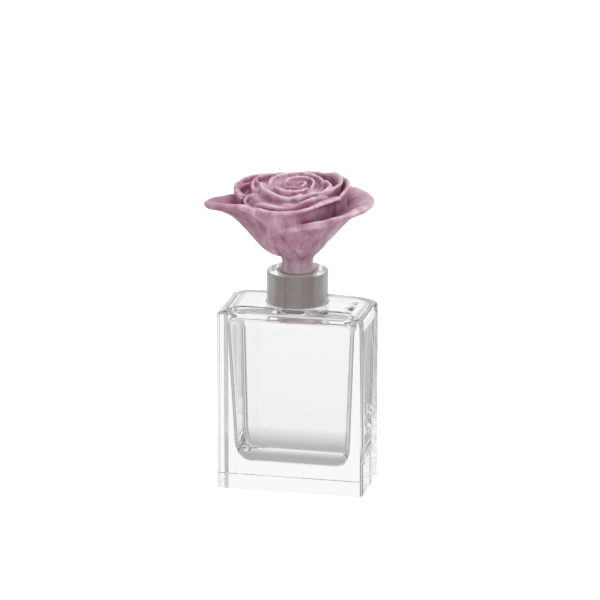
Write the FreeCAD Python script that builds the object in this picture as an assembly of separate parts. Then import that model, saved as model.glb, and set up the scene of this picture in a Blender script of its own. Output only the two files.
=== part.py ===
import FreeCAD, Part
import math
import os

# A crystal perfume flacon with a ground-glass stopper that carries a cast-glass rose.
# The bottle is one thick-walled block of clear crystal: a tapered well, a round neck and a
# ground conical bore.  The stopper is a ground crystal plug bonded to the stem of the rose.
# Millimetres, +Z up, origin at the middle of the base, broad front face towards -Y.

# ---- Driving dimensions: bottle ----
BODY_WIDTH = 75.0
BODY_DEPTH = 38.5
BODY_HEIGHT = 92.5
SIDE_EDGE_R = 2.2
TOP_EDGE_R = 2.0
FOOT_EDGE_R = 0.5
NECK_R = 15.5
NECK_HEIGHT = 19.0
NECK_ROOT_R = 0.8
DOME_RISE = 2.8                     # the shoulder swells up to the root of the neck
DOME_LEDGE = 0.3                    # flat ledge left between the top edge rounding and the swell
DOME_BELT_INSET = (4.2, 0.15)       # how far in, along X and Y, the swell is steepest
DOME_BELT_RISE = 2.2
DOME_CORNERS = (1.0, 6.0, 16.0)
RIM_EDGE_R = 0.8

# ---- Driving dimensions: the well inside the block ----
WELL_FLOOR_Z = 11.7
WELL_CEILING_Z = 89.6
WELL_HALF_WIDTH = (29.2, 32.7)      # at the floor and at the ceiling, before rounding
WELL_HALF_DEPTH = (10.6, 16.4)
WELL_CORNER_R = (4.5, 5.5)
WELL_FLOOR_ROUND = (7.0, 8.5, 12.0)  # inset in X, inset in Y, height of the rounding
WELL_CEILING_ROUND = (4.5, 4.0, 4.5)
WELL_MIDDLE_STEPS = 3
WELL_ROUND_STEPS = 3

# ---- Driving dimensions: ground joint ----
BORE_MOUTH_R = 10.2
TAPER = 0.05                        # radius lost per millimetre of depth
JOINT_CLEARANCE = 0.03
PLUG_LENGTH = 20.0
PLUG_TOP_DROP = 0.5
PLUG_CHAMFER = 0.4
TENON_R = 5.0
TENON_LENGTH = 14.0
GLUE_GAP = 0.1

# ---- Driving dimensions: rose ----
FRONT_ANGLE = -77.4                 # world angle that the rose faces
HEAD_SHIFT = (-3.0, 0.0)            # head centre from the stem axis, sideways and backwards
HEAD_LEAN = 0.12                    # rise per millimetre towards the back
LEAN_FROM_Z = 122.0
LEAN_FULL_Z = 146.0
CORE_PROFILE = (
    (8.9, 111.0), (8.4, 112.4), (7.5, 115.2), (8.2, 118.8), (13.6, 122.8), (18.8, 128.0),
    (21.4, 135.0), (22.0, 142.8), (18.6, 148.0), (5.0, 150.4),
)
CORE_LOOP_POLES = 12

# Petals: facing angle, half span, base (radius, height), bulge of the profile, lip (radius,
# height), thickness, spiral offset from one side to the other, and how round the lip is.
PETAL_RINGS = (
    (3, (8.0, 68.0, (6.0, 120.0), (27.0, 130.0), (31.4, 150.8), 2.7, 1.7, 0.22)),
    (3, (70.0, 66.0, (15.0, 136.0), (22.4, 141.0), (23.6, 153.4), 2.3, 1.6, 0.25)),
    (3, (20.0, 66.0, (10.0, 141.0), (17.4, 145.0), (17.8, 156.0), 2.1, 1.4, 0.25)),
    (2, (80.0, 92.0, (6.0, 144.0), (11.0, 147.0), (11.0, 157.6), 2.0, 1.2, 0.25)),
    (1, (-40.0, 150.0, (2.8, 146.0), (5.6, 149.0), (5.0, 158.6), 1.8, 1.2, 0.2)),
)
GUARD_PETALS = (
    (-91.0, 48.0, (14.0, 130.0), (32.0, 137.0), (48.6, 147.6), 3.8, 0.0, 0.6),
    (92.0, 52.0, (14.0, 129.0), (35.0, 134.0), (46.8, 148.0), 3.8, 0.0, 0.55),
    (178.0, 52.0, (14.0, 129.0), (32.0, 134.0), (45.0, 146.6), 3.6, 0.0, 0.6),
)
PETAL_STATIONS = 5
PETAL_STEPS = 3
PETAL_EDGE_THINNING = 0.4
LIP_THINNING = 0.35

RIM_Z = BODY_HEIGHT + NECK_HEIGHT
PLUG_TOP_Z = RIM_Z - PLUG_TOP_DROP
PLUG_BOTTOM_Z = PLUG_TOP_Z - PLUG_LENGTH
UP = FreeCAD.Vector(0, 0, 1)


def vec(x, y, z):
    return FreeCAD.Vector(x, y, z)


# ---- Shared surface builder ----
def clamped(count, degree=3):
    """Knots and multiplicities of an open clamped curve with this many poles."""
    spans = count - degree
    mults = [degree + 1] + [1] * (spans - 1) + [degree + 1]
    return [float(k) for k in range(spans + 1)], mults


def skinned_solid(loops):
    """Closed solid through closed loops of poles; the first and last loop are flat."""
    rows, around = len(loops), len(loops[0])
    knots_u, mults_u = clamped(rows)
    knots_v = [float(k) for k in range(around + 1)]
    surface = Part.BSplineSurface()
    surface.buildFromPolesMultsKnots(
        loops, mults_u, [1] * (around + 1), knots_u, knots_v, False, True, 3, 3)
    skin = surface.toShape()
    ends = []
    for u in (knots_u[0], knots_u[-1]):
        edge = surface.uIso(u).toShape()
        ends.append(Part.Face(Part.Wire([edge])))
    shell = Part.makeShell([skin] + ends)
    shell.sewShape()
    solid = Part.Solid(shell)
    if solid.Volume < 0:
        solid.reverse()
    return solid


def slab_solid(front, back):
    """Closed solid between two open pole grids of the same size, with ruled edges."""
    rows, columns = len(front), len(front[0])
    knots_u, mults_u = clamped(rows)
    knots_v, mults_v = clamped(columns)
    faces, borders = [], []
    for grid in (front, back):
        surface = Part.BSplineSurface()
        surface.buildFromPolesMultsKnots(
            grid, mults_u, mults_v, knots_u, knots_v, False, False, 3, 3)
        faces.append(surface.toShape())
        borders.append([surface.uIso(knots_u[0]), surface.uIso(knots_u[-1]),
                        surface.vIso(knots_v[0]), surface.vIso(knots_v[-1])])
    for one, other in zip(*borders):
        faces.append(Part.makeRuledSurface(one.toShape(), other.toShape()))
    shell = Part.makeShell(faces)
    shell.sewShape()
    solid = Part.Solid(shell)
    if solid.Volume < 0:
        solid.reverse()
    return solid


# ---- Bottle ----
def edges_where(shape, test):
    return [edge for edge in shape.Edges if test(edge)]


def is_vertical(edge):
    box = edge.BoundBox
    return box.ZLength > 1 and box.XLength < 1e-6 and box.YLength < 1e-6


def at_height(z):
    return lambda edge: edge.BoundBox.ZLength < 1e-6 and abs(edge.BoundBox.ZMin - z) < 1e-6


def outer_block():
    corner = vec(-BODY_WIDTH / 2, -BODY_DEPTH / 2, 0)
    block = Part.makeBox(BODY_WIDTH, BODY_DEPTH, BODY_HEIGHT, corner)
    block = block.makeFillet(SIDE_EDGE_R, edges_where(block, is_vertical))
    block = block.makeFillet(TOP_EDGE_R, edges_where(block, at_height(BODY_HEIGHT)))
    return block.makeFillet(FOOT_EDGE_R, edges_where(block, at_height(0.0)))


def outline_wire(half_x, half_y, corner, z):
    """Rounded rectangle at this height, as four corner arcs and four sides."""
    arcs = []
    for quadrant, (sx, sy) in enumerate(((1, 1), (-1, 1), (-1, -1), (1, -1))):
        centre = vec(sx * (half_x - corner), sy * (half_y - corner), z)
        turn = math.radians(90 * quadrant)
        circle = Part.Circle(centre, UP, corner)
        arcs.append(Part.Arc(circle, turn, turn + math.pi / 2).toShape())
    edges = []
    for arc, following in zip(arcs, arcs[1:] + arcs[:1]):
        side = Part.LineSegment(arc.Vertexes[-1].Point, following.Vertexes[0].Point)
        edges += [arc, side.toShape()]
    return Part.Wire(edges)


def shoulder_dome():
    """Low swell on top of the block, from its edges up to the root of the neck."""
    half_x = BODY_WIDTH / 2 - TOP_EDGE_R - DOME_LEDGE
    half_y = BODY_DEPTH / 2 - TOP_EDGE_R - DOME_LEDGE
    belt_x, belt_y = half_x - DOME_BELT_INSET[0], half_y - DOME_BELT_INSET[1]
    top = NECK_R + NECK_ROOT_R + DOME_LEDGE
    sections = [
        outline_wire(half_x, half_y, DOME_CORNERS[0], BODY_HEIGHT - 1),
        outline_wire(half_x, half_y, DOME_CORNERS[0], BODY_HEIGHT),
        outline_wire(belt_x, belt_y, DOME_CORNERS[1], BODY_HEIGHT + DOME_BELT_RISE),
        outline_wire(top, top, DOME_CORNERS[2], BODY_HEIGHT + DOME_RISE),
    ]
    return Part.makeLoft(sections, True, True)


def neck():
    """Round neck with its flared root and rounded rim, as one turned profile."""
    root, top = BODY_HEIGHT + DOME_RISE, RIM_Z
    foot_r = NECK_R + NECK_ROOT_R
    diag = 1 - math.sqrt(0.5)
    root_mid = vec(NECK_R + NECK_ROOT_R * diag, 0, root + NECK_ROOT_R * diag)
    rim_mid = vec(NECK_R - RIM_EDGE_R * diag, 0, top - RIM_EDGE_R * diag)
    edges = [
        Part.LineSegment(vec(0, 0, root - 1), vec(foot_r, 0, root - 1)).toShape(),
        Part.LineSegment(vec(foot_r, 0, root - 1), vec(foot_r, 0, root)).toShape(),
        Part.Arc(vec(foot_r, 0, root), root_mid, vec(NECK_R, 0, root + NECK_ROOT_R)).toShape(),
        Part.LineSegment(vec(NECK_R, 0, root + NECK_ROOT_R), vec(NECK_R, 0, top - RIM_EDGE_R)).toShape(),
        Part.Arc(vec(NECK_R, 0, top - RIM_EDGE_R), rim_mid, vec(NECK_R - RIM_EDGE_R, 0, top)).toShape(),
        Part.LineSegment(vec(NECK_R - RIM_EDGE_R, 0, top), vec(0, 0, top)).toShape(),
        Part.LineSegment(vec(0, 0, top), vec(0, 0, root - 1)).toShape(),
    ]
    return Part.Face(Part.Wire(edges)).revolve(vec(0, 0, 0), UP, 360)


def rounding(distance, height):
    """Fraction of the end inset that is left at this distance from a rounded end."""
    if distance >= height:
        return 0.0
    return 1 - math.sqrt(1 - (1 - distance / height) ** 2)


def well_heights():
    """Section heights, close together where the floor and the ceiling are rounded."""
    quarter = [math.radians(90 * k / WELL_ROUND_STEPS) for k in range(WELL_ROUND_STEPS + 1)]
    low = [WELL_FLOOR_Z + WELL_FLOOR_ROUND[2] * (1 - math.cos(a)) for a in quarter]
    high = [WELL_CEILING_Z - WELL_CEILING_ROUND[2] * (1 - math.cos(a)) for a in quarter]
    gap = (high[-1] - low[-1]) / WELL_MIDDLE_STEPS
    middle = [low[-1] + gap * k for k in range(1, WELL_MIDDLE_STEPS)]
    return low + middle + high[::-1]


def well_loop(z):
    """Poles of the rounded rectangle that the well has at this height."""
    share = (z - WELL_FLOOR_Z) / (WELL_CEILING_Z - WELL_FLOOR_Z)
    floor = rounding(z - WELL_FLOOR_Z, WELL_FLOOR_ROUND[2])
    ceiling = rounding(WELL_CEILING_Z - z, WELL_CEILING_ROUND[2])
    half_w = WELL_HALF_WIDTH[0] + share * (WELL_HALF_WIDTH[1] - WELL_HALF_WIDTH[0])
    half_d = WELL_HALF_DEPTH[0] + share * (WELL_HALF_DEPTH[1] - WELL_HALF_DEPTH[0])
    half_w -= floor * WELL_FLOOR_ROUND[0] + ceiling * WELL_CEILING_ROUND[0]
    half_d -= floor * WELL_FLOOR_ROUND[1] + ceiling * WELL_CEILING_ROUND[1]
    corner = WELL_CORNER_R[0] + share * (WELL_CORNER_R[1] - WELL_CORNER_R[0])
    corner = min(corner, 0.8 * half_d)
    loop = []
    for quadrant in range(4):
        sx = 1 if quadrant in (0, 3) else -1
        sy = 1 if quadrant < 2 else -1
        arc = [math.radians(a) for a in (0, 30, 60, 90)]
        if quadrant % 2:
            arc.reverse()
        points = [(sx * (half_w - corner + corner * math.cos(a)),
                   sy * (half_d - corner + corner * math.sin(a))) for a in arc]
        loop += [vec(x, y, z) for x, y in points]
        if quadrant % 2 == 0:
            loop += [vec(k * (half_w - corner) * sx, sy * half_d, z) for k in (0.5, -0.5)]
    return loop


def bore():
    """Ground conical bore from above the rim down into the well."""
    depth = RIM_Z - WELL_CEILING_Z + 1
    above = 1.0
    low_r = BORE_MOUTH_R - TAPER * depth
    high_r = BORE_MOUTH_R + TAPER * above
    return Part.makeCone(low_r, high_r, depth + above, vec(0, 0, RIM_Z - depth))


def crystal_bottle():
    well = skinned_solid([well_loop(z) for z in well_heights()])
    glass = outer_block().fuse([shoulder_dome(), neck()])
    return glass.cut(well.fuse(bore())).removeSplitter()


# ---- Stopper ----
def ground_plug():
    """Ground cone that seats in the bore, with a blind socket for the tenon of the rose."""
    top_r = BORE_MOUTH_R - TAPER * PLUG_TOP_DROP - JOINT_CLEARANCE
    bottom_r = top_r - TAPER * PLUG_LENGTH
    cone = Part.makeCone(bottom_r, top_r, PLUG_LENGTH, vec(0, 0, PLUG_BOTTOM_Z))
    cone = cone.makeChamfer(PLUG_CHAMFER, edges_where(cone, at_height(PLUG_BOTTOM_Z)))
    depth = TENON_LENGTH + GLUE_GAP
    socket = Part.makeCylinder(TENON_R + GLUE_GAP, depth, vec(0, 0, PLUG_TOP_Z - depth))
    return cone.cut(socket)


def rose_point(radius, angle, z, ease=1.0):
    """Point from its radius and angle about the head; ease 0 is the stem's upright axis."""
    turn = math.radians(angle)
    side = radius * math.sin(turn) + HEAD_SHIFT[0] * ease
    back = -radius * math.cos(turn) + HEAD_SHIFT[1] * ease
    front = math.radians(FRONT_ANGLE)
    x = -back * math.cos(front) - side * math.sin(front)
    y = -back * math.sin(front) + side * math.cos(front)
    return vec(x, y, z + HEAD_LEAN * back * ease)


def rose_core():
    """Solid glass heart: the stem, the bowl under the petals and the dome inside them."""
    loops = []
    for radius, z in CORE_PROFILE:
        share = min(1.0, max(0.0, (z - LEAN_FROM_Z) / (LEAN_FULL_Z - LEAN_FROM_Z)))
        ease = share * share * (3 - 2 * share)
        angles = [360.0 * k / CORE_LOOP_POLES for k in range(CORE_LOOP_POLES)]
        loops.append([rose_point(radius, a, z, ease) for a in angles])
    return skinned_solid(loops)


def petal_section(base, bulge, lip, thick, shift, angle):
    """Poles of the outer and the inner side of a petal, in the half plane at this angle."""
    outer, inner = [], []
    for k in range(PETAL_STEPS + 1):
        t = k / PETAL_STEPS
        weights = ((1 - t) ** 2, 2 * t * (1 - t), t * t)
        slopes = (-2 * (1 - t), 2 - 4 * t, 2 * t)
        r, z = (sum(w * p[i] for w, p in zip(weights, (base, bulge, lip))) for i in (0, 1))
        dr, dz = (sum(s * p[i] for s, p in zip(slopes, (base, bulge, lip))) for i in (0, 1))
        size = math.hypot(dr, dz)
        half = 0.5 * thick * (1 - LIP_THINNING * t)
        outer.append(rose_point(r + shift + half * dz / size, angle, z - half * dr / size))
        inner.append(rose_point(r + shift - half * dz / size, angle, z + half * dr / size))
    return outer, inner


def petal(angle, half_span, base, bulge, lip, thick, spiral, roundness):
    """Thick curved petal, one section for each step across it."""
    sections = []
    for k in range(PETAL_STATIONS):
        across = math.sin(math.radians(-90 + 180 * k / (PETAL_STATIONS - 1)))
        reach = 1 - roundness * across ** 4 - 0.3 * roundness * across ** 2
        end = tuple(b + reach * (e - b) for b, e in zip(base, lip))
        middle = tuple(b + reach * (e - b) for b, e in zip(base, bulge))
        edge_thick = thick * (1 - PETAL_EDGE_THINNING * across ** 4)
        sections.append(petal_section(base, middle, end, edge_thick, spiral * across,
                                      angle + across * half_span))
    return slab_solid([outer for outer, _ in sections], [inner for _, inner in sections])


def rose_petals():
    petals = [petal(*row) for row in GUARD_PETALS]
    for count, (first, *shape) in PETAL_RINGS:
        petals += [petal(first + 360.0 * k / count, *shape) for k in range(count)]
    return petals


def cast_rose():
    tenon = Part.makeCylinder(TENON_R, TENON_LENGTH + 2, vec(0, 0, PLUG_TOP_Z - TENON_LENGTH))
    rose = rose_core().fuse(tenon)
    for piece in rose_petals():
        rose = rose.fuse(piece)
    return rose


def main():
    os.makedirs("parts", exist_ok=True)
    nodes = {"crystal_bottle": crystal_bottle, "ground_plug": ground_plug, "cast_rose": cast_rose}
    for name, build in nodes.items():
        shape = build()
        solids = shape.Solids
        box = shape.BoundBox
        print(name, "valid" if shape.isValid() else "NOT VALID", len(solids), "solid,",
              round(shape.Volume / 1000, 2), "cm3,", round(box.ZMin, 2), "to", round(box.ZMax, 2))
        shape.exportStep(f"parts/{name}.step")


main()
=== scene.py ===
import math

import bmesh
import bpy
import numpy as np
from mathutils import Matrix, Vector

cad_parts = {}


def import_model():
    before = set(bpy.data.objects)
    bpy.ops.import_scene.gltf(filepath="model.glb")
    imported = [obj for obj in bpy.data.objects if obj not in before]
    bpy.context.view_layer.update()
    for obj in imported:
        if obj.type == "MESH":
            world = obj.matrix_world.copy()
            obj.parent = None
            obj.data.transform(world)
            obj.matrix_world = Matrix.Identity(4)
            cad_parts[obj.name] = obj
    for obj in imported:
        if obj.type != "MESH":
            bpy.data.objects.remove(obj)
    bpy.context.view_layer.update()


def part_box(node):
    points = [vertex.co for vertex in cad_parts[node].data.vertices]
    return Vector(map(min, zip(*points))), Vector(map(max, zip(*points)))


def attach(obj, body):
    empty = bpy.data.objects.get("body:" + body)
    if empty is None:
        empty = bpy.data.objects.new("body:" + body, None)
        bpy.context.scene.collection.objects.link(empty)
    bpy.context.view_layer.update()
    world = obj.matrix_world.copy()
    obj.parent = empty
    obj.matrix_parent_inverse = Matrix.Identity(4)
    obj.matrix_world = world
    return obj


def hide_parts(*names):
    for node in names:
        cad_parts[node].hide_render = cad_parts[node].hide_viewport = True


# Looks for the crystal flacon with a cast-glass rose stopper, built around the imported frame.
# Everything is in metres in the row frame; MM turns the sizes below into metres.

MM = 0.001

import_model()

# ---- Sizes taken from the frame ----
bottle_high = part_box("crystal_bottle")[1]
plug_low, plug_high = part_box("ground_plug")
rose_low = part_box("cast_rose")[0]
HALF_W = bottle_high.x / MM
HALF_D = bottle_high.y / MM
RIM_Z = bottle_high.z / MM
PLUG_TOP_Z = plug_high.z / MM
PLUG_BOTTOM_Z = plug_low.z / MM
PLUG_TOP_R = plug_high.x / MM
TENON_BOTTOM_Z = rose_low.z / MM

# ---- Bottle sizes, millimetres ----
SHOULDER_TO_RIM = 19.0
SHOULDER_Z = RIM_Z - SHOULDER_TO_RIM
SIDE_EDGE_R = 2.2
TOP_EDGE_R = 2.0
FOOT_EDGE_R = 0.5
LEAST_CORNER_R = 0.2
NECK_R = 15.5
NECK_ROOT_R = 0.8
DOME_RISE = 2.8                     # the shoulder swells up towards the neck
DOME_POWER = 4                      # higher is flatter on top and rounder at its edge
DOME_STEPS = 16
RIM_EDGE_R = 0.8
MOUTH_EDGE_R = 0.35
TENON_R = 5.0
SOCKET_GAP = 0.1
BORE_MOUTH_R = 10.2
TAPER = 0.05
WELL_FLOOR_Z = 11.7
WELL_CEILING_Z = 89.6
WELL_HALF_WIDTH = (29.2, 32.7)      # at the floor and at the ceiling, as are the next two
WELL_HALF_DEPTH = (10.6, 16.4)
WELL_CORNER_R = (3.2, 2.8)          # a little tighter than in the CAD
WELL_CORNER_SHARE = 0.9             # the most of the half depth that a corner may take
WELL_FLOOR_ROUND = (7.0, 8.5, 12.0)     # how far the rounding goes in X, in Y and in height
WELL_CEILING_ROUND = (4.5, 4.0, 4.5)
PLUG_EDGE_R = 0.4
PLUG_END_RING = 0.35                # inner ring of the plug's end, as a share of its radius

CORNER_STEPS = 14
SIDE_STEPS = (14, 44)               # along the short and the long sides
FILLET_STEPS = 8
EDGE_STEPS = 4                      # round the smallest edges
BLOCK_STEPS = 6
NECK_STEPS = 3
BORE_STEPS = 12
WELL_STEPS = (16, 24, 28)           # round the ceiling, down the walls and round the floor
PLUG_STEPS = 10
BASE_RINGS = (0.8, 0.4)             # rings under the block, as shares of its half depth
GROUND_MARGIN = (3, 6)              # last loops of the mouth that are ground, of the bore clear
STRIP = 0.15                        # narrow strip that keeps shading flat beside a rounding
FLAT_WEIGHT = 80                    # how much large faces rule the shading beside roundings


# ---- Mesh helpers ----
def new_object(name, verts, faces, slots=None):
    """Mesh object from millimetre vertices, with smooth faces and optional slot numbers."""
    mesh = bpy.data.meshes.new(name)
    mesh.from_pydata([tuple(c * MM for c in v) for v in verts], [], faces)
    if slots is not None:
        mesh.polygons.foreach_set("material_index", slots)
    mesh.polygons.foreach_set("use_smooth", [True] * len(mesh.polygons))
    mesh.update()
    obj = bpy.data.objects.new(name, mesh)
    bpy.context.scene.collection.objects.link(obj)
    return obj


def outward(obj):
    """Makes the face normals of a closed mesh point out of the glass."""
    bm = bmesh.new()
    bm.from_mesh(obj.data)
    bmesh.ops.recalc_face_normals(bm, faces=bm.faces)
    bm.to_mesh(obj.data)
    bm.free()


def apply_modifier(obj, kind, **settings):
    """Adds a modifier with these settings and makes its result the mesh."""
    mod = obj.modifiers.new(kind.lower(), kind)
    for name, value in settings.items():
        setattr(mod, name, value)
    with bpy.context.temp_override(object=obj, active_object=obj, selected_objects=[obj]):
        bpy.ops.object.modifier_apply(modifier=mod.name)


def weighted_normals(obj):
    """Shades flat faces flat beside their roundings."""
    apply_modifier(obj, "WEIGHTED_NORMAL", keep_sharp=True, weight=FLAT_WEIGHT)


def vertex_rows(mesh, name):
    """Array with a row of three numbers for each vertex: its co or its normal."""
    values = np.empty(len(mesh.vertices) * 3)
    mesh.vertices.foreach_get(name, values)
    return values.reshape(-1, 3)


def loft(loops, closed_start=True, closed_end=True):
    """Faces that join loops of equal count; each end can be closed by a fan to its centre."""
    count = len(loops[0])
    verts = [tuple(p) for loop in loops for p in loop]
    faces = []
    for k in range(len(loops) - 1):
        low, high = k * count, (k + 1) * count
        for i in range(count):
            j = (i + 1) % count
            faces.append((low + i, low + j, high + j, high + i))
    for closed, start in ((closed_start, 0), (closed_end, (len(loops) - 1) * count)):
        if closed:
            ring = verts[start:start + count]
            verts.append(tuple(sum(p[a] for p in ring) / count for a in range(3)))
            faces += [(start + i, start + (i + 1) % count, len(verts) - 1) for i in range(count)]
    return verts, faces


# ---- Bottle ----
def rounded_loop(half_x, half_y, corner, z):
    """Rounded rectangle, anticlockwise from the middle of the right side."""
    points = []
    centres = ((1, 1), (-1, 1), (-1, -1), (1, -1))
    for quadrant, (sx, sy) in enumerate(centres):
        start = 90 * quadrant
        cx, cy = sx * (half_x - corner), sy * (half_y - corner)
        arc = [math.radians(start + 90 * k / CORNER_STEPS) for k in range(CORNER_STEPS + 1)]
        points += [(cx + corner * math.cos(a), cy + corner * math.sin(a)) for a in arc]
        steps = SIDE_STEPS[1 - quadrant % 2]
        x0, y0 = points[-1]
        nx, ny = centres[(quadrant + 1) % 4]
        x1 = nx * (half_x - corner) if quadrant % 2 == 0 else x0
        y1 = y0 if quadrant % 2 == 0 else ny * (half_y - corner)
        points += [(x0 + (x1 - x0) * k / steps, y0 + (y1 - y0) * k / steps)
                   for k in range(1, steps)]
    return [(x, y, z) for x, y in points]


def loop_angles():
    """Directions of the block's outline, for round loops that join on to it."""
    outline = rounded_loop(HALF_W, HALF_D, SIDE_EDGE_R, 0)
    return [math.atan2(y / HALF_D ** 0.5, x / HALF_W ** 0.5) for x, y, _ in outline]


ANGLES = loop_angles()


def round_loop(radius, z):
    """Circle with as many points as the block's outline."""
    return [(radius * math.cos(a), radius * math.sin(a), z) for a in ANGLES]


def quarter(steps=FILLET_STEPS):
    """Pairs of cosine and sine for the steps of a quarter turn."""
    turns = [math.radians(90 * k / steps) for k in range(steps + 1)]
    return [(math.cos(a), math.sin(a)) for a in turns]


def between(start, end, steps):
    """Evenly spaced values from start to end, both included."""
    return [start + (end - start) * k / steps for k in range(steps + 1)]


def block_outline(inset, z):
    """The block's outline, moved in from its sides."""
    corner = max(SIDE_EDGE_R - inset, LEAST_CORNER_R)
    return rounded_loop(HALF_W - inset, HALF_D - inset, corner, z)


def dome_loops(edge, root):
    """The swell of the shoulder, from the edge of the block to the root of the neck."""
    loops = []
    for k in range(DOME_STEPS + 1):
        share = k / DOME_STEPS
        rise = DOME_RISE * (1 - (1 - share) ** DOME_POWER)
        loops.append([(x0 + (x1 - x0) * share, y0 + (y1 - y0) * share, z + rise)
                      for (x0, y0, z), (x1, y1, _) in zip(edge, root)])
    return loops


def outer_loops():
    """From the middle of the base, up the block and the neck, to the inner edge of the rim."""
    loops = [block_outline(HALF_D * share, 0) for share in BASE_RINGS]
    loops.append(block_outline(FOOT_EDGE_R + STRIP, 0))
    loops += [block_outline(FOOT_EDGE_R * (1 - s), FOOT_EDGE_R * (1 - c))
              for c, s in quarter(EDGE_STEPS)]
    low, high = FOOT_EDGE_R + STRIP, SHOULDER_Z - TOP_EDGE_R - STRIP
    loops += [block_outline(0, z) for z in between(low, high, BLOCK_STEPS)]
    loops += [block_outline(TOP_EDGE_R * (1 - c), SHOULDER_Z - TOP_EDGE_R * (1 - s))
              for c, s in quarter()]
    root_r, root_z = NECK_R + NECK_ROOT_R, SHOULDER_Z + DOME_RISE
    loops += dome_loops(block_outline(TOP_EDGE_R + STRIP, SHOULDER_Z),
                        round_loop(root_r + STRIP, SHOULDER_Z))
    loops += [round_loop(root_r - NECK_ROOT_R * s, root_z + NECK_ROOT_R * (1 - c))
              for c, s in quarter()]
    low, high = root_z + NECK_ROOT_R + STRIP, RIM_Z - RIM_EDGE_R - STRIP
    loops += [round_loop(NECK_R, z) for z in between(low, high, NECK_STEPS)]
    loops += [round_loop(NECK_R - RIM_EDGE_R * (1 - c), RIM_Z - RIM_EDGE_R * (1 - s))
              for c, s in quarter()]
    loops.append(round_loop(NECK_R - RIM_EDGE_R - STRIP, RIM_Z))
    return loops


def bore_radius(z):
    """Radius of the tapered bore at this height."""
    return BORE_MOUTH_R - TAPER * (RIM_Z - z)


def rounding(distance, height):
    """Share of a rounding's inset at this distance from its end: 1 there, 0 at its height."""
    if distance >= height:
        return 0.0
    return 1 - math.sqrt(max(0.0, 1 - (1 - distance / height) ** 2))


def well_loop(z):
    """Rounded rectangle of the well at this height."""
    share = (z - WELL_FLOOR_Z) / (WELL_CEILING_Z - WELL_FLOOR_Z)
    floor = rounding(z - WELL_FLOOR_Z, WELL_FLOOR_ROUND[2])
    ceiling = rounding(WELL_CEILING_Z - z, WELL_CEILING_ROUND[2])
    half_w = WELL_HALF_WIDTH[0] + share * (WELL_HALF_WIDTH[1] - WELL_HALF_WIDTH[0])
    half_d = WELL_HALF_DEPTH[0] + share * (WELL_HALF_DEPTH[1] - WELL_HALF_DEPTH[0])
    half_w -= floor * WELL_FLOOR_ROUND[0] + ceiling * WELL_CEILING_ROUND[0]
    half_d -= floor * WELL_FLOOR_ROUND[1] + ceiling * WELL_CEILING_ROUND[1]
    corner = WELL_CORNER_R[0] + share * (WELL_CORNER_R[1] - WELL_CORNER_R[0])
    return rounded_loop(half_w, half_d, min(corner, WELL_CORNER_SHARE * half_d), z)


def inner_loops():
    """Three lists: round the mouth, down the ground bore, and down the well to its floor."""
    mouth = [round_loop(BORE_MOUTH_R + MOUTH_EDGE_R + STRIP, RIM_Z)]
    mouth += [round_loop(BORE_MOUTH_R + MOUTH_EDGE_R * (1 - s), RIM_Z - MOUTH_EDGE_R * (1 - c))
              for c, s in quarter(EDGE_STEPS)]
    top, bottom = RIM_Z - MOUTH_EDGE_R - STRIP, WELL_CEILING_Z + MOUTH_EDGE_R
    bore = [round_loop(bore_radius(z), z) for z in between(top, bottom, BORE_STEPS)]
    low_r = bore_radius(WELL_CEILING_Z)
    bore += [round_loop(low_r + MOUTH_EDGE_R * (1 - c), WELL_CEILING_Z + MOUTH_EDGE_R * (1 - s))
             for c, s in quarter(EDGE_STEPS)[1:]]
    ceiling_steps, wall_steps, floor_steps = WELL_STEPS
    heights = [WELL_CEILING_Z - WELL_CEILING_ROUND[2] * (1 - s)
               for _, s in quarter(ceiling_steps)[::-1]]
    floor_top = WELL_FLOOR_Z + WELL_FLOOR_ROUND[2]
    heights += between(heights[-1], floor_top, wall_steps)[1:-1]
    heights += [WELL_FLOOR_Z + WELL_FLOOR_ROUND[2] * (1 - s) for _, s in quarter(floor_steps)]
    return mouth, bore, [well_loop(z) for z in heights]


def crystal_bottle(clear, ground):
    """One closed skin: the outside, the rim, the ground bore and the well."""
    mouth, bore, well = inner_loops()
    outer = outer_loops()
    loops = outer + mouth + bore + well
    verts, faces = loft(loops)
    count = len(loops[0])
    ground_from = len(outer) + len(mouth) - GROUND_MARGIN[0]
    ground_to = len(outer) + len(mouth) + len(bore) - GROUND_MARGIN[1]
    slots = [1 if ground_from <= f[0] // count < ground_to else 0 for f in faces]
    obj = new_object("crystal_flacon", verts, faces, slots)
    outward(obj)
    weighted_normals(obj)
    obj.data.materials.append(clear)
    obj.data.materials.append(ground)
    return obj


def ground_plug(ground):
    """Ground cone with softly broken edges and the socket that holds the tenon."""
    edge, low = PLUG_EDGE_R, PLUG_BOTTOM_Z
    top_r, bottom_r = PLUG_TOP_R, PLUG_TOP_R - TAPER * (PLUG_TOP_Z - low)
    profile = [(PLUG_END_RING * bottom_r, low), (bottom_r - edge - STRIP, low)]
    profile += [(bottom_r - edge * (1 - s), low + edge * (1 - c)) for c, s in quarter(EDGE_STEPS)]
    sides = between(edge, PLUG_TOP_Z - low - edge, PLUG_STEPS)[1:]
    profile += [(bottom_r + TAPER * rise, low + rise) for rise in sides]
    profile += [(top_r - edge * (1 - c), PLUG_TOP_Z - edge * (1 - s))
                for c, s in quarter(EDGE_STEPS)[1:]]
    profile += [(TENON_R + SOCKET_GAP, PLUG_TOP_Z), (TENON_R + SOCKET_GAP, TENON_BOTTOM_Z)]
    verts, faces = loft([round_loop(r, z) for r, z in profile])
    obj = new_object("ground_stopper_plug", verts, faces)
    outward(obj)
    weighted_normals(obj)
    obj.data.materials.append(ground)
    return obj


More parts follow.
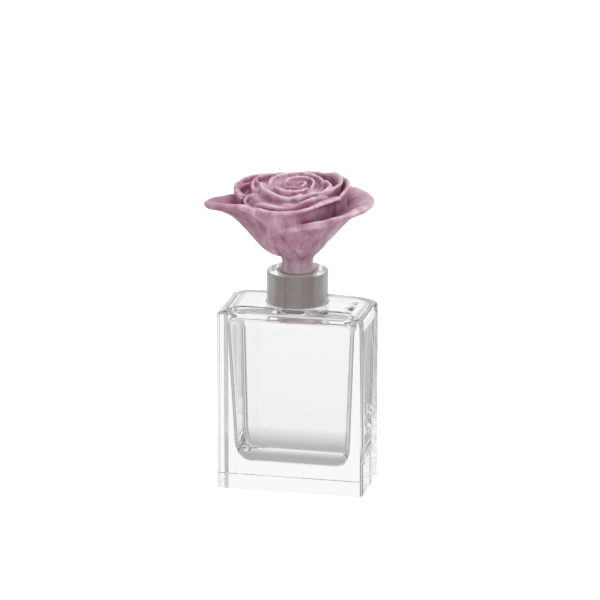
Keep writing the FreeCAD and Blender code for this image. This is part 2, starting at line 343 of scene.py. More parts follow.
# ---- Rose ----
# The head is laid out in cylindrical terms about its own axis: an angle that is 0 at the
# front and grows to the right, a radius, and a height.
FRONT_ANGLE = -77.4                 # direction in the row frame that the rose faces, degrees
HEAD_SHIFT = -3.0                   # the head's axis from the stem's, positive to the right
HEAD_SHIFT_Z = (117.0, 141.0)       # heights where the core starts and ends its way across
VOXEL = 0.6
MELT_ROUNDS = 9                     # rounds of averaging that melt the petals together
MELT_SHARE = 0.5
CORE_TURNS = 96
HEART_LEAN = 0.13                   # the filled heart of the flower rises towards the back
HEART_LEAN_Z = (134.0, 146.0)
STEM_PROFILE = (
    (8.7, 111.0), (8.6, 111.7), (8.1, 113.2), (7.75, 115.0), (7.8, 117.0), (8.8, 119.2),
    (11.4, 121.4), (14.6, 124.4), (17.4, 128.4), (19.6, 133.4), (21.6, 138.6), (22.8, 142.4),
    (23.8, 146.6), (22.4, 149.2), (19.4, 151.2), (15.0, 152.4), (10.0, 153.2), (4.6, 154.0),
)
SIDE_DROP = 0.10                    # a petal's lip drops this share at its two sides,
SIDE_DROP_POWER = 8                 # and only close to them
CUP_POINTS = ((0.55, 0.16), (0.97, 0.62))   # shares of the way out and up that shape a cup petal
BULGE_MARGIN = (1.0, 2.5)           # a bulge stays this far inside and below the lip
CURL_FROM = 0.8                     # share of the petal's height where its lip starts to roll
ROW_CROWDING = 1.4                  # rows crowd towards the lip
SPREAD_POWER = 1.7                  # how soon a petal reaches its full width
LIP_ROUND = (0.94, 0.06, 0.25)      # where the lip is rounded off: from, over, least share
SIDE_ROUND = (0.97, 0.03, 0.3)
ROOT_THINNING = (0.4, 0.6, 0.45)    # thin at its root, with the rest added over this share
LIP_THINNING = 0.25
PETAL_GRID = (72, 40)               # rows across a petal and up it
HEAD_FADE = (119.0, 8.0)            # height where the melted look starts, and over what height
FOLD_DEPTH = 0.07                   # soft folds that run up the petals
FOLDS = ((14, 0.25, 1.0), (23, -0.3, 0.6))  # count round the head, twist per millimetre, share
WAVE_DEPTH = 0.12                   # slow waves of the kiln-melted surface
WAVE_LENGTH = 13.0
WAVE_SWAY = 1.3                     # how much the waves wander with height
WAVE_OFFSET = 0.7
RING_WAVES = (1.9, 2.0, 0.6)        # waves up the head: pace, turns with the angle, share
# Painted shade: the rose's creases and hollows are coloured richer, and its lips paler (partly
# thinner glass, partly painted light), measured at two sizes of hollow.
HOLLOW_STEPS = (9, 45)              # two sizes of hollow, in rounds of averaging
HOLLOW_SHARES = (0.95, 0.3)         # creases count for more than wide hollows
HOLLOW_DEPTH = 0.8
HOLLOW_BLURS = 2
STEM_PAINTED_LIGHT = 0.6                 # the stem is painted paler, painted light where the head shades it, and the left guard petal richer, painted shade on the side away from the key light
STEM_FADE = (121.0, 6.0)            # from this height down, over this distance
LEFT_PAINTED_SHADE = 0.8
LEFT_FADE = (-18.0, 20.0)
DISH_PAINTED_LIGHT = 0.6                 # painted light: the dish round the heart is paler, as if lit from above; painted shade: the heart, the deepest recess, is richer
DISH_R = 14.0
DISH_WIDTH = 5.5
HEART_PAINTED_SHADE = 0.45
BUD_FADE = (8.0, 4.0)
TOP_FADE = (140.0, 6.0)
STREAKS = 8.0                       # streaks of colour: repeats per radian round the head
STREAK_FULL_R = 20.0                # fewer of them nearer to the stem than this,
STREAK_LEAST = 0.25                 # down to this share of them,
STREAK_LENGTH = 15.0                # and their length up the petals


def rose_frame(side, back, up):
    """Row-frame point from distances to the right, to the back and up, facing the rose."""
    front = math.radians(FRONT_ANGLE)
    x = -back * math.cos(front) - side * math.sin(front)
    y = -back * math.sin(front) + side * math.cos(front)
    return np.stack([x, y, up], axis=-1)


def smooth_through(values, across):
    """Smooth curve through evenly spaced values, for across from -1 to 1."""
    values = np.asarray(values, float)
    knots = np.linspace(-1, 1, len(values))
    slopes = np.gradient(values, knots)
    cell = np.clip(((across + 1) / 2 * (len(values) - 1)).astype(int), 0, len(values) - 2)
    width = knots[1] - knots[0]
    t = (across - knots[cell]) / width
    h00, h10 = 2 * t**3 - 3 * t**2 + 1, t**3 - 2 * t**2 + t
    h01, h11 = -2 * t**3 + 3 * t**2, t**3 - t**2
    return (h00 * values[cell] + h10 * width * slopes[cell]
            + h01 * values[cell + 1] + h11 * width * slopes[cell + 1])


def rounded_off(way, edge):
    """Share of the thickness that is left where an edge of the petal is rounded off."""
    start, length, least = edge
    return np.sqrt(np.clip(1 - np.clip((way - start) / length, 0, 1) ** 2, least, 1))


def petal_mesh(centre, half_span, base, lip_r, lip_z, curl, roll=2.0, thick=2.4, waist=0.35,
               bulge=None, spiral=0.0, ripple=(0.0, 3.0, 0.0), offset=(0.0, 0.0)):
    """Closed thick petal.  lip_r, lip_z and curl are given from its left side to its right;
    curl is how far the lip rolls outwards, in degrees, round a roll of that radius.  bulge is
    the pair of (radius, height) points that shape a spreading petal between base and lip.
    waist is the share of its width at the base, spiral how much further out its right side
    stands, and ripple the height, number and phase of waves along its lip."""
    nu, nv = PETAL_GRID
    u = np.sin(np.linspace(-1, 1, nu) * np.pi / 2)[:, None]
    flat = u[:, 0]
    end_r = smooth_through(lip_r, flat)[:, None]
    end_z = smooth_through(lip_z, flat)[:, None]
    bend = np.radians(smooth_through(curl, flat))[:, None]
    side = 1 - SIDE_DROP * np.abs(u) ** SIDE_DROP_POWER
    end_r, end_z = base[0] + (end_r - base[0]) * side, base[1] + (end_z - base[1]) * side
    if bulge is None:
        p1, p2 = ((base[0] + out * (end_r - base[0]), base[1] + up * (end_z - base[1]))
                  for out, up in CUP_POINTS)
    else:
        p1 = bulge[0]
        p2 = (np.minimum(bulge[1][0], end_r - BULGE_MARGIN[0]),
              np.minimum(bulge[1][1], end_z - BULGE_MARGIN[1]))
    v = (1 - (1 - np.linspace(0, 1, nv)) ** ROW_CROWDING)[None, :]
    t = np.clip(v / CURL_FROM, 0, 1)
    weights = ((1 - t) ** 3, 3 * t * (1 - t) ** 2, 3 * t * t * (1 - t), t ** 3)
    r = sum(w * p for w, p in zip(weights, (base[0], p1[0], p2[0], end_r)))
    z = sum(w * p for w, p in zip(weights, (base[1], p1[1], p2[1], end_z)))
    slope = np.arctan2(end_z - p2[1], end_r - p2[0])
    turn = np.clip((v - CURL_FROM) / (1 - CURL_FROM), 0, 1) * bend
    r = r + roll * (np.sin(slope) - np.sin(slope - turn))
    z = z + roll * (np.cos(slope - turn) - np.cos(slope))
    r = r + spiral * u * v ** 0.5
    z = z + ripple[0] * np.sin(ripple[1] * np.pi * u + ripple[2]) * v ** 3
    spread = waist + (1 - waist) * (1 - (1 - v) ** SPREAD_POWER)
    angle = np.radians(centre + half_span * u * spread)
    mid = rose_frame(r * np.sin(angle) + HEAD_SHIFT + offset[0], offset[1] - r * np.cos(angle), z)
    across, along = np.gradient(mid, axis=0), np.gradient(mid, axis=1)
    normal = np.cross(across, along)
    normal /= np.linalg.norm(normal, axis=-1, keepdims=True) + 1e-9
    root = ROOT_THINNING[0] + ROOT_THINNING[1] * np.clip(v / ROOT_THINNING[2], 0, 1)
    half = (0.5 * thick * root * (1 - LIP_THINNING * v ** 2)
            * rounded_off(v, LIP_ROUND) * rounded_off(np.abs(u), SIDE_ROUND))
    verts = np.concatenate([(mid + normal * half[..., None]).reshape(-1, 3),
                            (mid - normal * half[..., None]).reshape(-1, 3)])
    return verts, slab_faces(nu, nv)


def slab_faces(nu, nv):
    """Quads of a closed slab whose two sides are nu by nv grids."""
    def at(i, j, side):
        return side * nu * nv + i * nv + j

    faces = []
    for i in range(nu - 1):
        for j in range(nv - 1):
            faces.append((at(i, j, 0), at(i, j + 1, 0), at(i + 1, j + 1, 0), at(i + 1, j, 0)))
            faces.append((at(i, j, 1), at(i + 1, j, 1), at(i + 1, j + 1, 1), at(i, j + 1, 1)))
    for i in range(nu - 1):
        for j in (0, nv - 1):
            faces.append((at(i, j, 0), at(i + 1, j, 0), at(i + 1, j, 1), at(i, j, 1)))
    for j in range(nv - 1):
        for i in (0, nu - 1):
            faces.append((at(i, j, 0), at(i, j, 1), at(i, j + 1, 1), at(i, j + 1, 0)))
    return faces


def ease(value, start, full):
    """Smooth step from 0 at start to 1 at full."""
    share = min(1.0, max(0.0, (value - start) / (full - start)))
    return share * share * (3 - 2 * share)


def stem_mesh():
    """Solid core of the rose: tenon, stem, bowl and the heart that the petals stand on."""
    turns = np.linspace(0, 2 * np.pi, CORE_TURNS, endpoint=False)
    side, back = np.sin(turns), -np.cos(turns)
    loops = [rose_frame(TENON_R * side, TENON_R * back, np.full(CORE_TURNS, z))
             for z in (TENON_BOTTOM_Z, PLUG_TOP_Z)]
    for radius, z in STEM_PROFILE:
        shift = HEAD_SHIFT * ease(z, *HEAD_SHIFT_Z)
        lean = HEART_LEAN * ease(z, *HEART_LEAN_Z)
        loops.append(rose_frame(radius * side + shift, radius * back, z + lean * radius * back))
    return loft(loops)


# Petals from the outside in; lip radii, heights and curls run from left to right.
PETALS = (
    # left, right and back guard petals, spread under the head
    dict(centre=-80, half_span=62, base=(8, 121), lip_r=(26.0, 28.5, 42.2, 30.0, 25.4),
         lip_z=(147.0, 146.8, 147.2, 148.6, 141.0), curl=(10, 25, 40, 25, 0), thick=4.2,
         bulge=((18.5, 123.0), (21.0, 147.6)), waist=0.7, roll=2.8),
    dict(centre=62, half_span=80, base=(8, 120.5), lip_r=(25.8, 29.6, 37.0, 38.8, 30.0),
         lip_z=(140.6, 142.4, 146.0, 147.0, 150.0), curl=(0, 10, 45, 35, 10), thick=4.2,
         bulge=((18.5, 123.5), (25.0, 145.0)), waist=0.45, roll=2.8),
    dict(centre=176, half_span=46, base=(8, 121), lip_r=(29, 34, 38, 34, 29),
         lip_z=(148, 147, 146, 147, 148), curl=(20, 30, 30, 30, 20), thick=3.4,
         bulge=((19.0, 124.0), (22.5, 145.0)), waist=0.6, roll=2.5),
    # cup petals
    dict(centre=8, half_span=58, base=(7, 121), lip_r=(26.4, 25.8, 25.0, 24.6, 25.0),
         lip_z=(148.6, 146.6, 146.6, 149.6, 150.8), curl=(40, 50, 85, 125, 120), thick=2.7,
         waist=0.4, spiral=-0.6, roll=2.8),
    dict(centre=-122, half_span=44, base=(8, 124), lip_r=(25.0, 26.6, 27.4, 28.2, 27.0),
         lip_z=(153.4, 154.0, 153.6, 153.0, 151.2), curl=(30, 40, 50, 40, 20), thick=2.7,
         waist=0.45, roll=2.0),
    dict(centre=124, half_span=64, base=(8, 122), lip_r=(26.0, 27.8, 27.6, 26.8, 26.0),
         lip_z=(150.4, 153.6, 154.4, 153.4, 152.4), curl=(70, 80, 50, 30, 20), thick=2.8,
         waist=0.4, roll=2.3, spiral=0.6),
    # two curled petals that open to the left like cornets
    dict(centre=-96, half_span=128, base=(2.5, 144.5), lip_r=(5.5, 8.6, 10.2, 8.6, 5.0),
         lip_z=(153.8, 153.8, 152.0, 150.6, 150.4), curl=(10, 20, 30, 30, 20), thick=2.1,
         waist=0.75, roll=1.2, offset=(-16.6, 3.0)),
    dict(centre=-78, half_span=120, base=(2.5, 142.5), lip_r=(5.5, 8.0, 9.0, 8.2, 6.0),
         lip_z=(151.6, 151.4, 149.6, 147.4, 147.4), curl=(10, 20, 30, 30, 20), thick=2.1,
         waist=0.75, roll=1.2, offset=(-14.4, -9.0)),
    # second ring
    dict(centre=4, half_span=58, base=(12, 132), lip_r=(22.6, 21.4, 21.2, 22.0, 22.6),
         lip_z=(149.4, 149.2, 149.8, 153.4, 152.6), curl=(40, 40, 35, 35, 20), thick=2.7,
         waist=0.5, spiral=-0.6, ripple=(0.6, 2.3, 0.4)),
    dict(centre=-140, half_span=50, base=(12, 134), lip_r=(20.6, 21.6, 22.4, 22.0, 20.4),
         lip_z=(154.6, 155.0, 154.6, 154.2, 153.0), curl=(20, 30, 50, 40, 30), thick=2.4,
         waist=0.5, roll=1.8, offset=(1.0, 1.0)),
    dict(centre=108, half_span=66, base=(12, 134), lip_r=(20.4, 22.6, 23.4, 23.0, 21.4),
         lip_z=(152.0, 154.6, 155.8, 155.8, 155.2), curl=(50, 80, 70, 35, 20), thick=2.6,
         waist=0.5, roll=2.4, offset=(0.6, 0.6), ripple=(0.7, 2.6, 1.2)),
    # third ring, the dish round the heart
    dict(centre=-36, half_span=62, base=(8, 140), lip_r=(15.0, 15.6, 15.8, 14.6, 13.8),
         lip_z=(155.6, 155.0, 153.2, 152.6, 153.8), curl=(40, 50, 45, 30, 20), thick=2.4,
         waist=0.6, spiral=-1.2, offset=(0.8, -0.6), ripple=(0.5, 2.2, 2.0)),
    dict(centre=56, half_span=60, base=(8, 140), lip_r=(13.0, 16.4, 18.6, 18.0, 15.6),
         lip_z=(152.2, 153.4, 154.6, 155.4, 155.4), curl=(20, 55, 70, 50, 20), thick=2.4,
         waist=0.6, spiral=-1.0, offset=(1.6, 0.0), ripple=(0.7, 3.1, 0.0)),
    dict(centre=170, half_span=74, base=(8, 140), lip_r=(14.6, 16.8, 17.2, 16.6, 14.6),
         lip_z=(154.8, 155.6, 155.8, 155.6, 155.2), curl=(20, 30, 45, 30, 20), thick=2.3,
         waist=0.6, spiral=-0.6, offset=(1.0, 1.0)),
    # heart
    dict(centre=-8, half_span=74, base=(5, 143), lip_r=(8.6, 9.6, 9.6, 8.8, 8.4),
         lip_z=(155.6, 154.8, 154.2, 154.6, 155.6), curl=(30, 40, 40, 20, 10), thick=2.1,
         waist=0.7, spiral=-1.2, roll=1.6, offset=(1.0, 0.4)),
    dict(centre=150, half_span=80, base=(5, 143), lip_r=(8.0, 9.6, 10.2, 9.6, 8.2),
         lip_z=(155.4, 156.0, 156.4, 156.2, 155.6), curl=(10, 25, 40, 25, 10), thick=2.0,
         waist=0.7, spiral=-0.9, roll=1.4, offset=(1.6, 1.2)),
    dict(centre=-64, half_span=80, base=(2.6, 145), lip_r=(5.6, 5.0, 4.4, 4.4, 5.0),
         lip_z=(155.8, 155.4, 154.8, 155.2, 155.8), curl=(0, 15, 25, 15, 0), thick=1.8,
         waist=0.8, spiral=-1.2, roll=1.1, offset=(1.8, 1.2)),
    dict(centre=96, half_span=74, base=(1.8, 145), lip_r=(3.0, 4.0, 4.6, 4.0, 3.0),
         lip_z=(155.6, 156.0, 156.2, 156.0, 155.6), curl=(0, 15, 25, 15, 0), thick=1.7,
         waist=0.8, spiral=-0.8, roll=1.0, offset=(2.4, 1.6)),
)


def beyond(value, fade):
    """From 0 at the start of a fade to 1 over its length."""
    start, length = fade
    return np.clip((value - start) / length, 0, 1)


def before(value, fade):
    """The same towards lower values."""
    start, length = fade
    return np.clip((start - value) / length, 0, 1)


def neighbour_sum(values, a, b):
    """Sum of each vertex's neighbours, where a and b are the two ends of the edges."""
    count = len(values)
    return np.bincount(a, values[b], count) + np.bincount(b, values[a], count)


def soften(obj):
    """Moves the surface of the head in slow waves and shallow folds up the petals."""
    mesh = obj.data
    points, normals = vertex_rows(mesh, "co"), vertex_rows(mesh, "normal")
    x, y, z = (points / MM).T
    turn = np.arctan2(y, x)
    k = 2 * np.pi / WAVE_LENGTH
    pace, turns, share = RING_WAVES
    wave = (np.sin(k * x + WAVE_SWAY * np.sin(k * z)) * np.sin(k * y + WAVE_OFFSET)
            + share * np.sin(pace * k * z + turns * turn))
    fold = sum(part * np.sin(count * turn + twist * z) for count, twist, part in FOLDS)
    move = beyond(z, HEAD_FADE) * (WAVE_DEPTH * wave + FOLD_DEPTH * fold) * MM
    points += normals * move[:, None]
    mesh.vertices.foreach_set("co", points.ravel())
    mesh.update()


def mark_painted_shading(obj):
    """Stores painted light and shade for the rose's glass: below 0 is paler, as at the lips, which
    is partly thinner glass and partly painted light; above 0 is richer, which is painted shade in
    creases and hollows.
    """
    mesh = obj.data
    points, normals = vertex_rows(mesh, "co") / MM, vertex_rows(mesh, "normal")
    edges = np.empty(len(mesh.edges) * 2, dtype=np.int64)
    mesh.edges.foreach_get("vertices", edges)
    a, b = edges[0::2], edges[1::2]
    degree = np.bincount(edges, minlength=len(points))
    level = np.zeros(len(points))
    smooth = points
    for step in range(1, HOLLOW_STEPS[-1] + 1):
        smooth = np.stack([neighbour_sum(smooth[:, axis], a, b) / degree for axis in range(3)],
                          axis=-1)
        if step in HOLLOW_STEPS:
            share = HOLLOW_SHARES[HOLLOW_STEPS.index(step)]
            level += share * np.sum((smooth - points) * normals, axis=1) / HOLLOW_DEPTH
    level = np.clip(level, -1, 1)
    # Painted light on the stem, which the head shades, and painted shade on the head's left, away
    # from the key light.
    level -= STEM_PAINTED_LIGHT * before(points[:, 2], STEM_FADE)
    level += LEFT_PAINTED_SHADE * before(points[:, 0], LEFT_FADE)
    # Painted light on the dish round the heart and painted shade in the heart itself, on top of
    # the head.
    from_axis = points - rose_frame(HEAD_SHIFT, 0.0, 0.0)
    radius = np.hypot(from_axis[:, 0], from_axis[:, 1])
    on_top = beyond(points[:, 2], TOP_FADE)
    level -= DISH_PAINTED_LIGHT * on_top * np.exp(-((radius - DISH_R) / DISH_WIDTH) ** 2)
    level += HEART_PAINTED_SHADE * on_top * before(radius, BUD_FADE)
    for _ in range(HOLLOW_BLURS):
        level = neighbour_sum(level, a, b) / degree
    mark = mesh.attributes.new("painted_light_and_shade", "FLOAT", "POINT")
    mark.data.foreach_set("value", level.astype(np.float32))


def mark_flow(obj):
    """Stores coordinates that are stretched up the petals, for the streaks in the glass."""
    mesh = obj.data
    axis = rose_frame(HEAD_SHIFT, 0.0, 0.0)
    x, y, z = (vertex_rows(mesh, "co") / MM - axis).T
    turn, radius = np.arctan2(y, x), np.hypot(x, y)
    reach = STREAKS * np.clip(radius / STREAK_FULL_R, STREAK_LEAST, 1)
    flow = np.stack([reach * np.cos(turn), reach * np.sin(turn), (radius + z) / STREAK_LENGTH],
                    axis=-1)
    mark = mesh.attributes.new("flow", "FLOAT_VECTOR", "POINT")
    mark.data.foreach_set("vector", flow.ravel().astype(np.float32))


def keep_largest(obj):
    """Drops the specks that remeshing leaves beside or inside the main skin."""
    bm = bmesh.new()
    bm.from_mesh(obj.data)
    left = set(bm.verts)
    shells = []
    while left:
        stack = [left.pop()]
        shell = []
        while stack:
            vert = stack.pop()
            shell.append(vert)
            for edge in vert.link_edges:
                other = edge.other_vert(vert)
                if other in left:
                    left.remove(other)
                    stack.append(other)
        shells.append(shell)
    largest = max(shells, key=len)
    specks = [vert for shell in shells if shell is not largest for vert in shell]
    bmesh.ops.delete(bm, geom=specks, context="VERTS")
    bm.to_mesh(obj.data)
    bm.free()


def mark_tenon(obj):
    """Puts the faces below the plug's top edge in the second slot."""
    mesh = obj.data
    centres = np.empty(len(mesh.polygons) * 3)
    mesh.polygons.foreach_get("center", centres)
    below = centres[2::3] < (PLUG_TOP_Z - PLUG_EDGE_R) * MM
    mesh.polygons.foreach_set("material_index", below.astype(np.int32))
    mesh.update()


def cast_rose(glass, tenon_glass):
    """The petals and the stem melted into one skin, as the kiln leaves them."""
    verts, faces = stem_mesh()
    for row in PETALS:
        more, quads = petal_mesh(**row)
        start = len(verts)
        verts += list(map(tuple, more))
        faces += [tuple(start + i for i in quad) for quad in quads]
    obj = new_object("cast_glass_rose", verts, faces)
    outward(obj)
    apply_modifier(obj, "REMESH", mode="VOXEL", voxel_size=VOXEL * MM, use_smooth_shade=True)
    keep_largest(obj)
    apply_modifier(obj, "SMOOTH", factor=MELT_SHARE, iterations=MELT_ROUNDS)
    soften(obj)
    mark_painted_shading(obj)
    mark_flow(obj)
    obj.data.materials.append(glass)
    obj.data.materials.append(tenon_glass)
    mark_tenon(obj)
    return obj


# ---- Materials ----
MIDDLE_TONE = 0.5                   # place on the rose's ramp of a level stretch of glass
PAINTED_SHADING_REACH = 0.36                  # how far the painted light and shade, and then clouds and streaks, move it
NOISE_TONE = 0.9


def colour(r, g, b):
    """Linear colour from 8-bit display values."""
    return tuple(((c / 255 + 0.055) / 1.055) ** 2.4 if c > 10 else c / 255 / 12.92
                 for c in (r, g, b)) + (1.0,)


def principled(name, **values):
    """Material with one Principled shader and its node tree."""
    material = bpy.data.materials.new(name)
    material.use_nodes = True
    shader = material.node_tree.nodes["Principled BSDF"]
    for socket, value in values.items():
        shader.inputs[socket.replace("_", " ")].default_value = value
    return material, material.node_tree, shader


def noise(tree, scale, detail=3.0, rough=0.55, distortion=0.0, where=None):
    """Noise in repeats per metre of object space, or per unit of the given coordinates."""
    if where is None:
        where = tree.nodes.new("ShaderNodeTexCoord").outputs["Object"]
    texture = tree.nodes.new("ShaderNodeTexNoise")
    texture.inputs["Scale"].default_value = scale
    texture.inputs["Detail"].default_value = detail
    texture.inputs["Roughness"].default_value = rough
    texture.inputs["Distortion"].default_value = distortion
    tree.links.new(where, texture.inputs["Vector"])
    return texture.outputs["Fac"]


def attribute(tree, name, output):
    """Output of a value that is stored on the mesh."""
    node = tree.nodes.new("ShaderNodeAttribute")
    node.attribute_name = name
    return node.outputs[output]


def ramp(tree, source, stops):
    """Colour ramp over (position, colour) stops."""
    node = tree.nodes.new("ShaderNodeValToRGB")
    elements = node.color_ramp.elements
    elements[0].position, elements[0].color = stops[0]
    elements[1].position, elements[1].color = stops[-1]
    for position, shade in stops[1:-1]:
        elements.new(position).color = shade
    tree.links.new(source, node.inputs["Fac"])
    return node.outputs["Color"]


def bump(tree, shader, height, distance, strength):
    """Relief from a texture, its distance in metres."""
    node = tree.nodes.new("ShaderNodeBump")
    node.inputs["Strength"].default_value = strength
    node.inputs["Distance"].default_value = distance
    tree.links.new(height, node.inputs["Height"])
    tree.links.new(node.outputs["Normal"], shader.inputs["Normal"])


def maths(tree, operation, a, b=0.0):
    """Math node.  The third input, which only MULTIPLY_ADD reads, is b as well."""
    node = tree.nodes.new("ShaderNodeMath")
    node.operation = operation
    for socket, value in zip(node.inputs, (a, b, b)):
        if isinstance(value, (int, float)):
            socket.default_value = value
        else:
            tree.links.new(value, socket)
    return node.outputs["Value"]


def mixed(tree, share, a, b):
    """Colour between a and b; each is a colour or another node's output."""
    node = tree.nodes.new("ShaderNodeMix")
    node.data_type = "RGBA"
    factor, first, second, result = node.inputs[0], node.inputs[6], node.inputs[7], node.outputs[2]
    tree.links.new(share, factor)
    for socket, value in ((first, a), (second, b)):
        if isinstance(value, tuple):
            socket.default_value = value
        else:
            tree.links.new(value, socket)
    return result


def clear_crystal():
    """Clear lead crystal, faintly uneven, with a trace of green in its depth."""
    material, tree, shader = principled(
        "clear_crystal", Base_Color=(0.975, 0.978, 0.976, 1.0), Roughness=0.0, IOR=1.545,
        Transmission_Weight=1.0)
    bump(tree, shader, noise(tree, 9.0, 1.0), 0.0006, 0.12)
    haze = tree.nodes.new("ShaderNodeVolumeAbsorption")
    haze.inputs["Color"].default_value = (0.93, 0.975, 0.95, 1.0)
    haze.inputs["Density"].default_value = 1.2
    tree.links.new(haze.outputs["Volume"], tree.nodes["Material Output"].inputs["Volume"])
    return material


def ground_crystal(name, dark, light, clearness):
    """Frosted glass of a ground joint, its tone clouded between two shades."""
    material, tree, shader = principled(name, Roughness=0.38, IOR=1.53,
                                        Transmission_Weight=clearness)
    tone = ramp(tree, noise(tree, 240.0, 4.0), [(0.3, dark), (0.7, light)])
    tree.links.new(tone, shader.inputs["Base Color"])
    bump(tree, shader, noise(tree, 2600.0, 2.0), 0.00006, 0.35)
    return material


def rose_glass():
    """Translucent cast glass: pale lips, partly painted light, rosier hollows, which are painted
    shade, and clouds and streaks up the petals.
    """
    material, tree, shader = principled(
        "rose_pate_de_verre", Roughness=0.32, IOR=1.5, Transmission_Weight=0.30,
        Subsurface_Weight=0.65, Subsurface_Scale=0.005, Coat_Weight=0.3, Coat_Roughness=0.16)
    shader.inputs["Subsurface Radius"].default_value = (1.0, 0.55, 0.7)
    cloud = noise(tree, 95.0, 4.0, 0.6, 0.6)
    streak = noise(tree, 1.0, 4.0, 0.65, 0.5, attribute(tree, "flow", "Vector"))
    # The stored painted light and shade moves the tone: richer in hollows and the heart, paler at
    # the lips, stem and dish.
    level = maths(tree, "MULTIPLY", attribute(tree, "painted_light_and_shade", "Fac"), PAINTED_SHADING_REACH)
    level = maths(tree, "ADD", level, MIDDLE_TONE)
    for shade in (cloud, streak):
        change = maths(tree, "MULTIPLY", maths(tree, "SUBTRACT", shade, 0.5), NOISE_TONE)
        level = maths(tree, "ADD", level, change)
    tone = ramp(tree, level, [
        (0.12, colour(220, 196, 207)), (0.32, colour(198, 160, 177)),
        (0.50, colour(182, 134, 155)), (0.66, colour(170, 103, 133)),
        (0.86, colour(142, 68, 102))])
    tree.links.new(tone, shader.inputs["Base Color"])
    bump(tree, shader, streak, 0.0009, 0.45)
    return material


# ---- Studio ----
FLOOR_HALF = 6000.0                 # millimetres
FLOOR_GLOW = 0.85
AIM = (0, 0, 0.1)                   # the point that the lights face, metres
# Soft boxes: name, place and side in metres, power in watts.
LIGHTS = (
    ("key", (0.8, -0.7, 1.4), 0.6, 5.0),
    ("fill", (-0.9, -0.6, 1.2), 0.9, 1.0),
    ("rim", (0.9, 0.7, 1.2), 0.6, 3.0),
    ("top", (0.05, 0.15, 1.4), 0.5, 6.0),
)
# The tent that glass sees.  Its walls are greys by the sine of the angle away from the
# front-to-back line: light ahead, two dark cards, and light windows at the corners and ends.
WALLS = ((0.0, 0.96), (0.42, 0.96), (0.54, 0.30), (0.64, 0.30), (0.67, 0.92), (0.75, 0.92),
         (0.79, 0.24), (0.96, 0.24), (0.985, 0.9))
# Above and below, it fades to one grey, by height from 0 straight down to 1 straight up.
ABOVE_FADE, ABOVE_GREY = (0.67, 0.85), 0.95
BELOW_FADE, BELOW_GREY = (0.16, 0.31), 0.42
DIFFUSE_GREY = 0.76
CAMERA_TURN, CAMERA_TILT = 12.6, 16.8       # degrees to the right of the front, and above it
CAMERA_DISTANCE = 3.0
CAMERA_SHIFT = (0.0012, 0.0914)     # right and up from the origin, metres
CAMERA_LENS = 355.6
SENSOR = 36.0
FAR = 100.0


def table():
    """Pale table that the flacon stands on; clear glass looks past it into the tent."""
    half = FLOOR_HALF
    floor = new_object("studio_floor", [(-half, -half, 0), (half, -half, 0), (half, half, 0),
                                        (-half, half, 0)], [(0, 1, 2, 3)])
    material, tree, shader = principled("studio_white", Base_Color=(0.35, 0.35, 0.35, 1.0),
                                        Roughness=1.0)
    shader.inputs["Specular IOR Level"].default_value = 0.0
    shader.inputs["Emission Color"].default_value = (1.0, 1.0, 1.0, 1.0)
    shader.inputs["Emission Strength"].default_value = FLOOR_GLOW
    floor.data.materials.append(material)
    floor.visible_transmission = False
    floor.visible_glossy = False


def grey(level):
    """Opaque grey of this level."""
    return (level, level, level, 1.0)


def tent():
    """World that is white to the camera, an even grey to diffuse rays, and to glass a tent of
    light and dark that is fixed in the row frame and draws the glass's edges."""
    world = bpy.data.worlds.new("tent")
    bpy.context.scene.world = world
    world.use_nodes = True
    tree = world.node_tree
    where = tree.nodes.new("ShaderNodeTexCoord")
    split = tree.nodes.new("ShaderNodeSeparateXYZ")
    tree.links.new(where.outputs["Generated"], split.inputs["Vector"])
    x, y, z = (split.outputs[k] for k in range(3))
    flat = maths(tree, "SQRT", maths(tree, "ADD", maths(tree, "MULTIPLY", x, x),
                                     maths(tree, "MULTIPLY", y, y)))
    sine = maths(tree, "DIVIDE", maths(tree, "ABSOLUTE", x), flat)
    walls = ramp(tree, sine, [(position, grey(level)) for position, level in WALLS])
    height = maths(tree, "MULTIPLY_ADD", z, 0.5)
    above = ramp(tree, height, [(ABOVE_FADE[0], grey(0.0)), (ABOVE_FADE[1], grey(1.0))])
    below = ramp(tree, height, [(BELOW_FADE[0], grey(1.0)), (BELOW_FADE[1], grey(0.0))])
    shade = mixed(tree, above, mixed(tree, below, walls, grey(BELOW_GREY)), grey(ABOVE_GREY))
    path = tree.nodes.new("ShaderNodeLightPath")
    seen = mixed(tree, path.outputs["Is Camera Ray"], shade, grey(1.0))
    seen = mixed(tree, path.outputs["Is Diffuse Ray"], seen, grey(DIFFUSE_GREY))
    background = tree.nodes["Background"]
    tree.links.new(seen, background.inputs["Color"])
    background.inputs["Strength"].default_value = 1.0


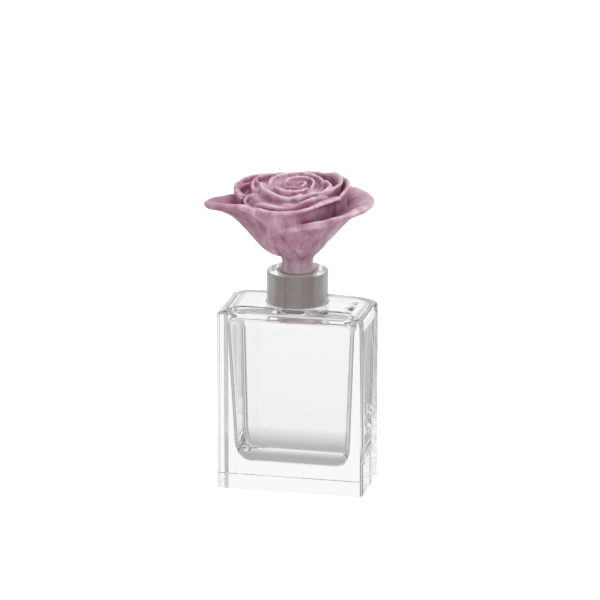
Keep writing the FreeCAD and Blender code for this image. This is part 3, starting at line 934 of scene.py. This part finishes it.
def soft_light(name, place, size, power):
    """Square soft box that faces the flacon, hidden from the camera and through glass."""
    data = bpy.data.lights.new(name, "AREA")
    data.size = size
    data.energy = power
    light = bpy.data.objects.new(name, data)
    bpy.context.scene.collection.objects.link(light)
    light.location = place
    light.rotation_mode = "QUATERNION"
    aim = Vector(AIM) - Vector(place)
    light.rotation_quaternion = aim.to_track_quat("-Z", "Y")
    light.visible_camera = False
    light.visible_transmission = False


def camera():
    """Long lens, a little to the right of the front and above the rim."""
    turn, tilt = math.radians(CAMERA_TURN), math.radians(CAMERA_TILT)
    right = Vector((math.cos(turn), math.sin(turn), 0))
    back = Vector((math.sin(turn) * math.cos(tilt), -math.cos(turn) * math.cos(tilt),
                   math.sin(tilt)))
    up = back.cross(right)
    data = bpy.data.cameras.new("camera")
    data.lens = CAMERA_LENS
    data.sensor_width = SENSOR
    data.clip_end = FAR
    view = bpy.data.objects.new("camera", data)
    bpy.context.scene.collection.objects.link(view)
    view.location = right * CAMERA_SHIFT[0] + up * CAMERA_SHIFT[1] + back * CAMERA_DISTANCE
    view.rotation_mode = "QUATERNION"
    view.rotation_quaternion = back.to_track_quat("Z", "Y")
    bpy.context.scene.camera = view


def put(piece, body, node):
    """The piece rides on its body and stands for its CAD node."""
    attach(piece, body)
    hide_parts(node)


crystal, rose_finish = clear_crystal(), rose_glass()
tenon_finish = principled("rose_tenon", Base_Color=colour(244, 222, 229), Roughness=0.3,
                          IOR=1.5, Transmission_Weight=1.0)[0]
frosted = ground_crystal("ground_bore", colour(227, 211, 209), colour(238, 225, 222), 0.5)
frosted_plug = ground_crystal("ground_plug_face", colour(248, 240, 238),
                              colour(253, 249, 248), 0.6)
put(crystal_bottle(crystal, frosted), "bottle", "crystal_bottle")
put(ground_plug(frosted_plug), "stopper", "ground_plug")
put(cast_rose(rose_finish, tenon_finish), "stopper", "cast_rose")

table()
tent()
for light in LIGHTS:
    soft_light(*light)
camera()

scene = bpy.context.scene
scene.view_settings.view_transform = "Standard"
scene.cycles.max_bounces = 24
scene.cycles.transmission_bounces = 20
scene.cycles.glossy_bounces = 10
scene.cycles.diffuse_bounces = 4
scene.cycles.caustics_refractive = True
scene.cycles.caustics_reflective = False
